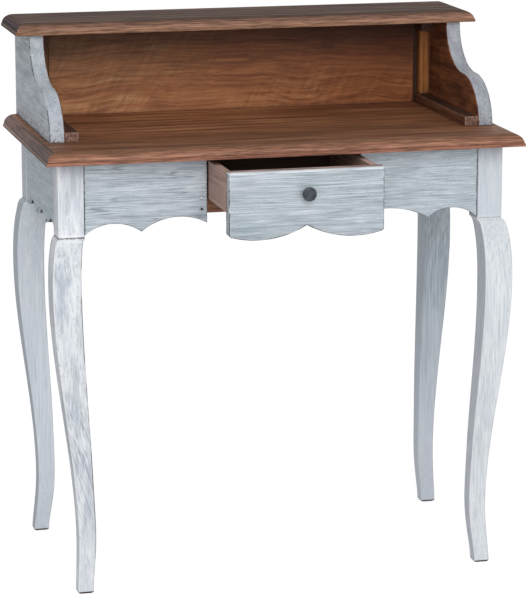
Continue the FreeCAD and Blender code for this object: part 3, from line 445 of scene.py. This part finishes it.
# Cast iron, blackened: a dull grey skin, finely pitted, a little brighter where fingers rub it.
# Its pits are really about 0.3 mm. They are drawn at 1.6 mm, so that they show.
def blackenedIron(name, look):
    material, tree, shader = newMaterial(name)
    add = partial(addNode, tree)
    here = add("TexCoord", out="Object")
    pits = add("TexNoise", {"Vector": here, "Scale": metre / look["pitMm"], "Detail": 4, "Roughness": 0.6})
    smudge = add("TexNoise", {"Vector": here, "Scale": metre / look["smudgeMm"], "Detail": 3})
    colour = add("ValToRGB", {"Fac": smudge}, stops=[(0.35, look["dull"]), (0.65, look["handled"])])
    turn, rounded = edgeTurn(tree, look["edgeMm"])
    colour = layer(tree, colour, turn, (0.02, 0.15), look["rubShare"], look["rubbed"])
    sheen = add("MapRange", {
        "Value": pits, "From Min": 0.3, "From Max": 0.7, "To Min": 0.66, "To Max": 0.46})
    depth = look["reliefMm"] / metre
    bump = add("Bump", {"Strength": 0.4, "Distance": depth, "Height": pits, "Normal": rounded})
    tree.links.new(colour, shader.inputs["Base Color"])
    tree.links.new(sheen, shader.inputs["Roughness"])
    tree.links.new(bump, shader.inputs["Normal"])
    shader.inputs["Metallic"].default_value = look["metal"]
    return material


# Drawn steel: screws and nails, grey and dulled by age, with a soft shine and blotches of tarnish
def drawnSteel(name, look):
    material, tree, shader = newMaterial(name)
    add = partial(addNode, tree)
    here = add("TexCoord", out="Object")
    tarnish = add("TexNoise", {"Vector": here, "Scale": metre / look["tarnishMm"], "Detail": 3})
    colour = add("ValToRGB", {"Fac": tarnish}, stops=[(0.3, look["dull"]), (0.7, look["bright"])])
    sheen = add("MapRange", {
        "Value": tarnish, "From Min": 0.3, "From Max": 0.7, "To Min": 0.55, "To Max": 0.36})
    bump = add("Bump", {"Strength": 0.2, "Distance": look["reliefMm"] / metre, "Height": tarnish})
    tree.links.new(colour, shader.inputs["Base Color"])
    tree.links.new(sheen, shader.inputs["Roughness"])
    tree.links.new(bump, shader.inputs["Normal"])
    shader.inputs["Metallic"].default_value = look["metal"]
    return material


def dress(material, *names):
    for name in names:
        piece = nodes[name]
        piece.data.materials.clear()
        piece.data.materials.append(material)
    print(material.name, "on", ", ".join(names))


# Painted pieces. Shares go from 0 to 1. A size is a length and a width, and a sway is its length and reach.
# The limit of bare wood is its axis, side, place and raggedness. Joints lie to both sides of the middle.
apronLook = {
    "face": "Y", "run": "x", "shift": (0, 0, 0), "swayMm": (300, 2), "brushMm": (70, 1.7), "bandShare": 0.08,
    "gritMm": (3.2, 2.0), "gritTurn": 0, "gritShare": 0.24, "spread": 0.13,
    "greys": ("#929ea7", "#acb8c0", "#c5d0d7"), "chalk": "#e2e8ec", "grey": "#9ba6af", "line": "#747c84",
    "mauve": "#b3b6c3", "mauveShare": 0.35, "smudgeMm": (90, 16), "chalkShare": 0.12, "greyShare": 0.2,
    "ringMm": (420, 13), "ringCount": 8, "ringThin": 0.14, "grainShare": 0.75, "dryShare": 0.28,
    "scratchMm": (30, 1.7), "scratchShare": 0.28, "wood": "#3f3b3a", "edgeMm": 4.5, "rubShare": 0.6,
    "chipShare": 0.9, "wornShare": 0.85, "speckShare": 0.3, "grimeAndShadeShare": 0.75,
    "jointMm": 352.5, "postFootMm": 620,
    "bare": ("Y", "past", -101, 2), "bareBrowns": ("#4a3024", "#6b4633", "#835b45"),
}
dress(whitewash("whitewash_apron_left", apronLook), "front_apron_left")
rightLook = {
    **apronLook, "shift": (1.3, 0.2, 0.4), "swayMm": (300, 7), "spread": 0.17, "grainShare": 0.3,
    "greyShare": 0.1, "gritShare": 0.32, "mauveShare": 0.2, "scratchShare": 0.25,
}
dress(whitewash("whitewash_apron_right", rightLook), "front_apron_right")

jointless = without(apronLook, "jointMm", "postFootMm")
# painted shade, with some dirt: the arch soffits past the paint take dark greys for the shade under the
# arches
sideLook = {
    **jointless, "face": "X", "run": "y", "shift": (0.3, 0.1, 0.6), "spread": 0.24, "grainShare": 0.15,
    "scratchShare": 0.15, "bare": ("X", "inside", 390, 2.5), "bareBrowns": ("#3a3837", "#4a4745", "#5b5652"),
}
dress(whitewash("whitewash_side_apron", sideLook), "side_apron_left", "side_apron_right")

rearLook = {**without(apronLook, "bare", "bareBrowns"), "shift": (2.1, 0.5, 0.9)}
dress(whitewash("whitewash_rear_apron", rearLook), "rear_apron")

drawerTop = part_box("drawer_front")[1][2] * metre
drawerLook = {
    **jointless, "shift": (0.7, 0.4, 0.2), "swayMm": (300, 1.5), "brushMm": (130, 1.7), "spread": 0.15,
    "greys": ("#8a969e", "#a2adb4", "#bcc5cb"), "grainShare": 0.5, "dryShare": 0.3, "greyShare": 0.1,
    "scratchMm": (60, 1.7), "scratchShare": 0.3, "wood": "#353130", "edgeMm": 6, "rubShare": 0.95,
    "wornShare": 1.0, "rimAtMm": drawerTop, "rimMm": 4, "rimRub": 0.75,
    "bare": ("Y", "past", -251, 2), "bareUp": ("Y", "past", -264, 2),
    "bareBrowns": ("#7a5f58", "#9c827c", "#b7a19b"),
}
dress(whitewash("whitewash_drawer_front", drawerLook), "drawer_front")

legLook = {
    "face": "corners", "run": "z", "shift": (0, 0, 0), "swayMm": (220, 8), "brushMm": (60, 1.8),
    "bandShare": 0.12, "gritMm": (30, 2.0), "gritTurn": 14, "gritShare": 0.25, "spread": 0.15,
    "greys": ("#adb4bc", "#c6ccd2", "#d9dee3"), "chalk": "#eef1f3", "grey": "#aab1ba", "line": "#868d95",
    "mauve": "#c6c9da", "mauveShare": 0.35, "smudgeMm": (80, 26), "chalkShare": 0.65, "greyShare": 0.65,
    "ringMm": (150, 9), "ringCount": 3, "ringThin": 0.1, "grainShare": 0.3, "dryShare": 0.4,
    "scratchMm": (40, 1.7), "scratchShare": 0.2, "wood": "#3a322f", "edgeMm": 7, "rubShare": 0.85,
    "chipShare": 0.8, "wornShare": 1.0, "speckShare": 0.55, "grimeAndShadeShare": 0.8, "flankShading": "#9298b0",
    "flankShadingShare": 0.05, "paleShare": 0.85, "jointMm": 353.0, "postFootMm": 630, "postTint": "#f2f5f8",
    "postShare": 0.14, "headGreyAndShadeShare": 0.65, "rimAtMm": 628.5, "rimMm": 6, "rimRub": 0.8, "cutShadeMm": 1.4,
    "cutShadeShare": 0.7, "footShading": "#e8ecef", "footShadingMm": (200, 20), "footShadingShare": 0.35,
    "sole": "#3f211d", "soleMm": (4.2, 3.0),
    "marks": [{"colour": "#7d848d", "share": 0.5, "turn": 17, "sizeMm": (60, 1.9), "betweenMm": (130, 320)}],
}
dress(whitewash("whitewash_front_left_leg", legLook), "leg_front_left")
rightLegLook = {
    **without(legLook, "marks", "cutShadeMm", "cutShadeShare", "footShading", "footShadingMm", "footShadingShare"),
    "shift": (0.6, 0.3, 0.5), "swayMm": (220, 2), "brushMm": (120, 1.8), "gritTurn": 0,
    "greys": ("#bcc3c9", "#d0d6da", "#dfe4e7"), "mauve": "#cdd0da", "mauveShare": 0.5, "chalkShare": 0.2,
    "greyShare": 0.2, "ringMm": (500, 5), "grainShare": 0.15, "scratchShare": 0.12, "edgeMm": 3,
    "chipShare": 0.4, "wornShare": 0.12, "speckShare": 0.3, "grimeAndShadeShare": 0.2,
    "flankShading": "#9aa0bb", "flankShadingShare": 0.2, "paleShare": 0.3, "postTint": "#bcc2cc", "postShare": 0.45,
    "rimRub": 0.2, "sole": "#3d3f43",
}
dress(whitewash("whitewash_front_right_leg", rightLegLook), "leg_front_right")
# painted shade: the rear legs' greys are darker than the front legs', for the shade of the desk; the paler
# flank and foot of this leg are painted light
rearLegLook = {
    **without(legLook, "marks", "rimAtMm", "rimMm", "rimRub", "cutShadeMm", "cutShadeShare"),
    "shift": (0.4, 0.8, 0.1), "swayMm": (220, 2), "brushMm": (160, 1.8), "gritTurn": 0, "gritShare": 0.2,
    "greys": ("#949fa8", "#aab5be", "#bec8cf"), "chalk": "#d2d9df", "grey": "#949da8", "mauve": "#b5bdc9",
    "chalkShare": 0.15, "greyShare": 0.2, "ringMm": (500, 5), "grainShare": 0.45, "dryShare": 0.3,
    "scratchShare": 0.12, "edgeMm": 3, "chipShare": 0.35, "wornShare": 0.4, "speckShare": 0.15,
    "flankShading": "#bcc1cd", "flankShadingShare": 0.35, "paleShare": 0.0, "footShading": "#d6dae3", "footShadingMm": (420, 60),
    "footShadingShare": 0.68, "sole": "#33363b",
}
dress(whitewash("whitewash_rear_right_leg", rearLegLook), "leg_rear_right")
# painted light: a paler copy of the rear leg paint for the rear left leg, with painted shade on its flanks
# and towards its foot
litRearLeftLegLook = {
    **rearLegLook, "greys": ("#c3ccd6", "#d5dde6", "#e2e9f0"), "chalk": "#eef1f4", "grey": "#c3cbd5",
    "mauve": "#d2d6e2", "spread": 0.22, "grainShare": 0.2, "wornShare": 0.15, "flankShading": "#8b939c",
    "flankShadingShare": 0.6, "footShading": "#b4bcc5", "footShadingMm": (200, 20), "footShadingShare": 0.3,
}
dress(whitewash("whitewash_rear_left_leg", litRearLeftLegLook), "leg_rear_left")

galleryLook = {
    **jointless, "face": "X", "run": "y", "shift": (0.2, 0.9, 0.3), "spread": 0.15,
    "greys": ("#939ba3", "#a8afb6", "#bcc3c9"), "chalk": "#ccd2d7", "grey": "#93969f", "mauveShare": 0.6,
    "chalkShare": 0.4, "greyShare": 0.5, "grainShare": 0.4, "scratchShare": 0.25, "edgeMm": 6,
    "bare": ("X", "inside", 374.5, 0.6), "bareBrowns": ("#4b2918", "#6a3f28", "#865432"),
    "marks": [{"colour": "#5a4a44", "share": 0.8, "turn": 0, "sizeMm": (6, 4), "betweenMm": (770, 786)}],
}
dress(whitewash("whitewash_gallery_left", galleryLook), "gallery_side_left")
# painted shade: a darker copy of the gallery paint for the right side
shadedGalleryLook = {
    **galleryLook, "shift": (0.8, 0.1, 0.5), "greys": ("#82888e", "#969ba2", "#a8aeb3"), "chalk": "#bcc1c6",
    "grey": "#84868f", "mauve": "#a19ea9",
}
dress(whitewash("whitewash_gallery_right", shadedGalleryLook), "gallery_side_right")

# Stained and bare wood. A shade of painted light or tone has its blend, colour, share, and the metres over
# which it comes in.
deskLow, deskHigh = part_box("desk_top")
shelfLow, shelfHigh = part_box("top_shelf")
topLook = {
    "run": "x", "shift": (0, 0, 0), "swayMm": (420, 16), "cloudShare": 0.1, "grainLongMm": 240,
    "grainWideMm": 14, "fineLongMm": 180, "fineShare": 0.5, "spread": 0.072, "ringShare": 0.3,
    "browns": ("#593621", "#6b442c", "#774d34", "#8c6244"), "pore": "#38200f", "poreShare": 0.5,
    "rubbed": "#c08d6b", "rubShare": 0.6, "rough": 0.5, "shine": 0.22,
    # painted light: the rear and left of the top are brightened to make up for the shade under the shelf
    "lightAndToneShades": [("DODGE", "#bababa", 1.0, [("Y", -0.06, 0.15), ("X", 0.5, 0.0)])],
    "mould": (deskLow[2], deskHigh[2]),
    # painted light: the moulding's ramp holds a highlight on the round and shade in the step along with the
    # stain; the end's ramp has painted light lines
    "mouldToneAndLightStops": [
        (0.0, "#8f6154"), (0.12, "#8e604f"), (0.21, "#8a5b49"), (0.26, "#744737"), (0.36, "#8d614d"),
        (0.49, "#9c715c"), (0.59, "#8c634e"), (0.68, "#7d5440"), (0.75, "#855d47"), (0.85, "#73503c"),
        (0.97, "#6d4932")],
    "endToneAndLightStops": [
        (0.0, "#3b2927"), (0.17, "#453230"), (0.23, "#a18b82"), (0.28, "#2f1f1d"), (0.45, "#48342f"),
        (0.7, "#4e3832"), (0.97, "#55392c")],
}
dress(waxedWood("waxed_desk_top", topLook), "desk_top")

shelfLook = {
    **without(topLook, "lightAndToneShades"), "shift": (0.4, 0.3, 0.8), "grainWideMm": 10,
    "browns": ("#2f211c", "#46332a", "#543e33", "#6c5344"), "rough": 0.62, "shine": 0.12,
    "mould": (shelfLow[2], shelfHigh[2]),
    # painted light: the moulding's ramp holds a highlight on the round and shade in the step along with the
    # stain; the end's ramp has painted light lines
    "mouldToneAndLightStops": [
        (0.0, "#86644f"), (0.18, "#8d6b58"), (0.25, "#84604d"), (0.33, "#95735f"), (0.43, "#8d6b59"),
        (0.55, "#836252"), (0.68, "#785949"), (0.79, "#76594b"), (0.89, "#5d473c"), (0.97, "#4f3c33")],
    "endToneAndLightStops": [
        (0.0, "#3a2c2b"), (0.18, "#43332f"), (0.25, "#93807a"), (0.31, "#352826"), (0.6, "#46373a"),
        (0.97, "#463630")],
}
dress(waxedWood("waxed_shelf", shelfLook), "top_shelf")

panelLook = {
    **without(topLook, "mould", "mouldToneAndLightStops", "endToneAndLightStops"), "shift": (0.1, 0.7, 0.2), "swayMm": (180, 40),
    "cloudShare": 0.4, "grainLongMm": 200, "grainWideMm": 6, "fineLongMm": 120, "fineShare": 0.32,
    "spread": 0.105, "ringShare": 0.2, "browns": ("#82543a", "#9f6b4a", "#ae7a53", "#c1926b"),
    "pore": "#4a2a1d", "poreShare": 0.35, "rubbed": "#bb9070", "rubShare": 0.8, "rough": 0.55,
    "curlTurn": (0, 58, 0),
    "lightAndToneShades": [
        # painted shadow under the shelf, with some dirt, darkens the top; then a darker patch at the upper
        # right, and the panel darker and redder towards the right
        ("MIX", "#38201a", 0.72, [("Z", 0.82, 0.915)]),
        ("MIX", "#351a19", 0.40, [("X", -0.05, 0.20), ("Z", 0.86, 0.90)]),
        ("MULTIPLY", "#ccb09a", 1.0, [("X", -0.32, 0.30)])],
    "shadedGroove": ("Y", "past", 250, 0.2),
}
dress(waxedWood("waxed_back_panel", panelLook), "gallery_back_panel")

battenLook = {
    **without(panelLook, "curlTurn", "lightAndToneShades", "shadedGroove"), "run": "z", "swayMm": (180, 4),
    "grainWideMm": 4, "spread": 0.09, "ringShare": 0.5, "rubShare": 0.5,
    "browns": ("#663a1a", "#8b5529", "#9a6232", "#b07c49"),
}
dress(waxedWood("waxed_batten", battenLook), "gallery_batten_right")
# painted shade: the left batten, under the shelf, takes a darker copy of the batten wood
shadedBattenLook = {**battenLook, "browns": ("#2f1c14", "#3f271c", "#482e21", "#573a2b"), "rubShare": 0.2}
dress(waxedWood("waxed_shaded_batten", shadedBattenLook), "gallery_batten_left")

cleatLook = {
    **battenLook, "run": "y", "browns": ("#4a2c20", "#633f2f", "#724b38", "#86604a"), "rubbed": "#a98d7c",
    "rubShare": 0.8,
}
# painted shade: the shelf strips, in the shelf's shadow, take a darker copy of the cleat wood
shadedStripLook = {**cleatLook, "browns": ("#2f1c16", "#412a20", "#4b3126", "#5a3d31"), "rubShare": 0.25}
dress(waxedWood("stained_and_shaded_shelf_strips", shadedStripLook), "shelf_cleat_left", "shelf_cleat_right")
# painted shade on the cleats' tops; their front ends worn paler
baseCleatLook = {
    **cleatLook, "shift": (0.2, 0.4, 0.3), "faces": {"Z": ("#281711", 1.0), "Y": ("#84695f", 0.9)},
}
dress(waxedWood("stained_base_cleats", baseCleatLook), "base_cleat_left", "base_cleat_right")

drawerWoodLook = {
    **cleatLook, "shift": (0.5, 0.2, 0.7), "spread": 0.17, "ringShare": 0.25,
    "browns": ("#856961", "#a3867b", "#b09287", "#c4aaa1"), "pore": "#4c3630", "rubbed": "#ccb2a3",
    "rough": 0.62, "shine": 0.25,
}
dress(waxedWood("bare_drawer_wood", drawerWoodLook), "drawer_side_left", "drawer_side_right")
# painted shade: the drawer's back and bottom take dark browns for the shade inside the drawer
innerLook = {
    **drawerWoodLook, "run": "x", "browns": ("#2f211b", "#3d2c24", "#46332a", "#554036"), "pore": "#1d130f",
}
dress(waxedWood("painted_shade_drawer_wood", innerLook), "drawer_back", "drawer_bottom")

frameLook = {
    **cleatLook, "shift": (0.9, 0.6, 0.1), "browns": ("#4b2f21", "#6a4733", "#77523c", "#86614b"),
    "rubbed": "#937058", "rubShare": 0.5, "rough": 0.66, "shine": 0.2,
}
dress(waxedWood("sawn_frame_wood", frameLook),
      "drawer_guide_left", "drawer_guide_right", "drawer_runner_left", "drawer_runner_right",
      "top_block_front_left", "top_block_rear_left", "top_block_front_right", "top_block_rear_right")
bearerLook = {**frameLook, "run": "x", "browns": ("#5f4030", "#835b45", "#916751", "#a27a63")}
dress(waxedWood("sawn_bearer_rail", bearerLook), "bearer_rail")

# Filler dabbed over the nails: it covers each upper nail and leaves the head of each lower one bare.
# Its sizes are metres.
dabLook = {
    "sides": 20, "radius": 0.0036, "thick": 0.0008, "sunk": 0.0002, "steps": 2, "stepIn": 0.0011,
    "stepOut": 0.00025, "ringWide": 0.0014, "ringDeep": 0.0007, "smoothAngle": 40, "nailRadius": 0.002,
}
fillerLook = {
    **without(jointless, "bare", "bareBrowns"), "greys": ("#e0e5e9", "#ecf0f2", "#f5f7f8"),
    "wood": "#5d6268", "scratchShare": 0.1, "grainShare": 0.1, "greyShare": 0.1, "mauveShare": 0.1,
}
filler = whitewash("whitewash_filler", fillerLook)
nailLow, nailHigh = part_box("apron_nails")
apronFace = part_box("front_apron_left")[0][1]
dabDepth = apronFace + dabLook["sunk"] - dabLook["thick"] / 2
leftNails = nailLow[0] + dabLook["nailRadius"]
rightNails = nailHigh[0] - dabLook["nailRadius"]
nailRows = {"upper": nailHigh[2] - dabLook["nailRadius"], "lower": nailLow[2] + dabLook["nailRadius"]}
leftDabs = {}
for row, level in nailRows.items():
    bpy.ops.object.select_all(action="DESELECT")
    bpy.ops.mesh.primitive_cylinder_add(
        vertices=dabLook["sides"], radius=dabLook["radius"], depth=dabLook["thick"],
        location=(leftNails, dabDepth, level), rotation=(math.radians(90), 0, 0))
    dab = bpy.context.object
    dab.name = f"nail_filler_left_{row}"
    bpy.ops.object.transform_apply(location=True, rotation=True, scale=True)
    bpy.ops.object.mode_set(mode="EDIT")
    bpy.ops.mesh.select_mode(type="FACE")
    bpy.ops.mesh.select_all(action="DESELECT")
    bpy.ops.object.mode_set(mode="OBJECT")
    for face in dab.data.polygons:
        face.select = face.normal.y < -0.9  # the outer face
    bpy.ops.object.mode_set(mode="EDIT")
    if row == "upper":
        for step in range(dabLook["steps"]):
            bpy.ops.mesh.inset(thickness=dabLook["stepIn"], depth=dabLook["stepOut"])
    else:
        bpy.ops.mesh.inset(thickness=dabLook["ringWide"] / 2, depth=dabLook["stepOut"])
        bpy.ops.mesh.inset(thickness=dabLook["ringWide"] / 2, depth=-dabLook["stepOut"])
        bpy.ops.mesh.inset(thickness=0.0, depth=-dabLook["ringDeep"])
    bpy.ops.object.mode_set(mode="OBJECT")
    bpy.ops.object.shade_smooth_by_angle(angle=math.radians(dabLook["smoothAngle"]))
    dab.data.materials.append(filler)
    leftDabs[row] = dab

# copies with their own meshes on the right apron
rightDabs = {}
for row, dab in leftDabs.items():
    bpy.ops.object.select_all(action="DESELECT")
    dab.select_set(True)
    bpy.context.view_layer.objects.active = dab
    bpy.ops.object.duplicate()
    rightDabs[row] = bpy.context.object
    rightDabs[row].name = f"nail_filler_right_{row}"
    bpy.ops.transform.translate(value=(rightNails - leftNails, 0, 0))
    bpy.ops.object.transform_apply(location=True, rotation=True, scale=True)
for dab in (*leftDabs.values(), *rightDabs.values()):
    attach(dab, "carcass")
print("nail filler on the front aprons")

# Metal
ironLook = {
    "pitMm": 1.6, "smudgeMm": 9, "dull": "#2f343a", "handled": "#444b52", "rubbed": "#80878e",
    "rubShare": 0.45, "edgeMm": 1.2, "reliefMm": 0.3, "metal": 0.5,
}
dress(blackenedIron("blackened_iron_knob", ironLook), "drawer_knob")
screwLook = {"tarnishMm": 2, "dull": "#6f6c68", "bright": "#a19e98", "reliefMm": 0.1, "metal": 0.9}
dress(drawnSteel("steel_screws", screwLook), "top_screws", "gallery_screws", "knob_screw")
nailLook = {**screwLook, "dull": "#2c2e31", "bright": "#4a4c50"}
dress(drawnSteel("dark_nails", nailLook), "apron_nails", "shelf_screws")


# Floor, light and camera
def seenDirectly(tree):
    # 1 for what the camera and shiny surfaces see, 0 for the light that falls on the desk
    rays = addNode(tree, "LightPath").node.outputs
    seen = addNode(tree, "Math", {0: rays["Is Camera Ray"], 1: rays["Is Glossy Ray"]}, operation="MAXIMUM")
    return addNode(tree, "Math", {0: seen, 1: rays["Is Transmission Ray"]}, operation="MAXIMUM")


# Matt white paper: an even white ground that keeps a soft shadow under the desk
floorLook = {"size": 30.0, "glow": 0.76, "white": "#ffffff", "shadow": "#adadad", "bounce": "#e7e7e7"}
bpy.ops.object.select_all(action="DESELECT")
bpy.ops.mesh.primitive_plane_add(size=floorLook["size"], location=(0, 0, 0))
floor = bpy.context.object
floor.name = "studio_floor"
paper, tree = newMaterial("white_paper_floor")[:2]
add = partial(addNode, tree)
glow = add("Emission", {"Color": hexColour(floorLook["white"]), "Strength": floorLook["glow"]})
shade = add("BsdfDiffuse", {"Color": hexColour(floorLook["shadow"])})
lit = add("AddShader", {0: glow, 1: shade})
plain = add("BsdfDiffuse", {"Color": hexColour(floorLook["bounce"])})
paperFace = add("MixShader", {0: seenDirectly(tree), 1: plain, 2: lit})
tree.links.new(paperFace, tree.nodes["Material Output"].inputs["Surface"])
floor.data.materials.append(paper)

lightLook = {
    "skyColour": "#ffffff", "sky": 0.60, "keyWatts": 105, "keySize": 2.6, "keyPlace": (-0.4, -4.2, 2.3),
    "keyAim": (0, 0, 0.6),
}
world = bpy.data.worlds.new("studio")
bpy.context.scene.world = world
world.use_nodes = True
tree = world.node_tree
level = addNode(tree, "MapRange", {
    "Value": seenDirectly(tree), "To Min": lightLook["sky"], "To Max": 1.0})
tree.links.new(level, tree.nodes["Background"].inputs["Strength"])
tree.nodes["Background"].inputs["Color"].default_value = hexColour(lightLook["skyColour"])

lamp = bpy.data.lights.new("key", "AREA")
lamp.energy = lightLook["keyWatts"]
lamp.size = lightLook["keySize"]
lampHolder = bpy.data.objects.new("key", lamp)
bpy.context.scene.collection.objects.link(lampHolder)
lampHolder.location = lightLook["keyPlace"]
aim = Vector(lightLook["keyAim"]) - Vector(lightLook["keyPlace"])
lampHolder.rotation_euler = aim.to_track_quat("-Z", "Y").to_euler()

cameraLook = {
    "place": (-1.2542, -4.8564, 1.5916), "down": 12.55, "right": 14.43, "lens": 172.24, "sensor": 36,
}
eye = bpy.data.cameras.new("photo_camera")
eye.lens = cameraLook["lens"]
eye.sensor_width = cameraLook["sensor"]
eyeHolder = bpy.data.objects.new("photo_camera", eye)
bpy.context.scene.collection.objects.link(eyeHolder)
eyeHolder.location = cameraLook["place"]
eyeHolder.rotation_euler = (math.radians(90 - cameraLook["down"]), 0, math.radians(-cameraLook["right"]))
bpy.context.scene.camera = eyeHolder
bpy.context.scene.view_settings.view_transform = "Standard"
print("floor, light and camera set")
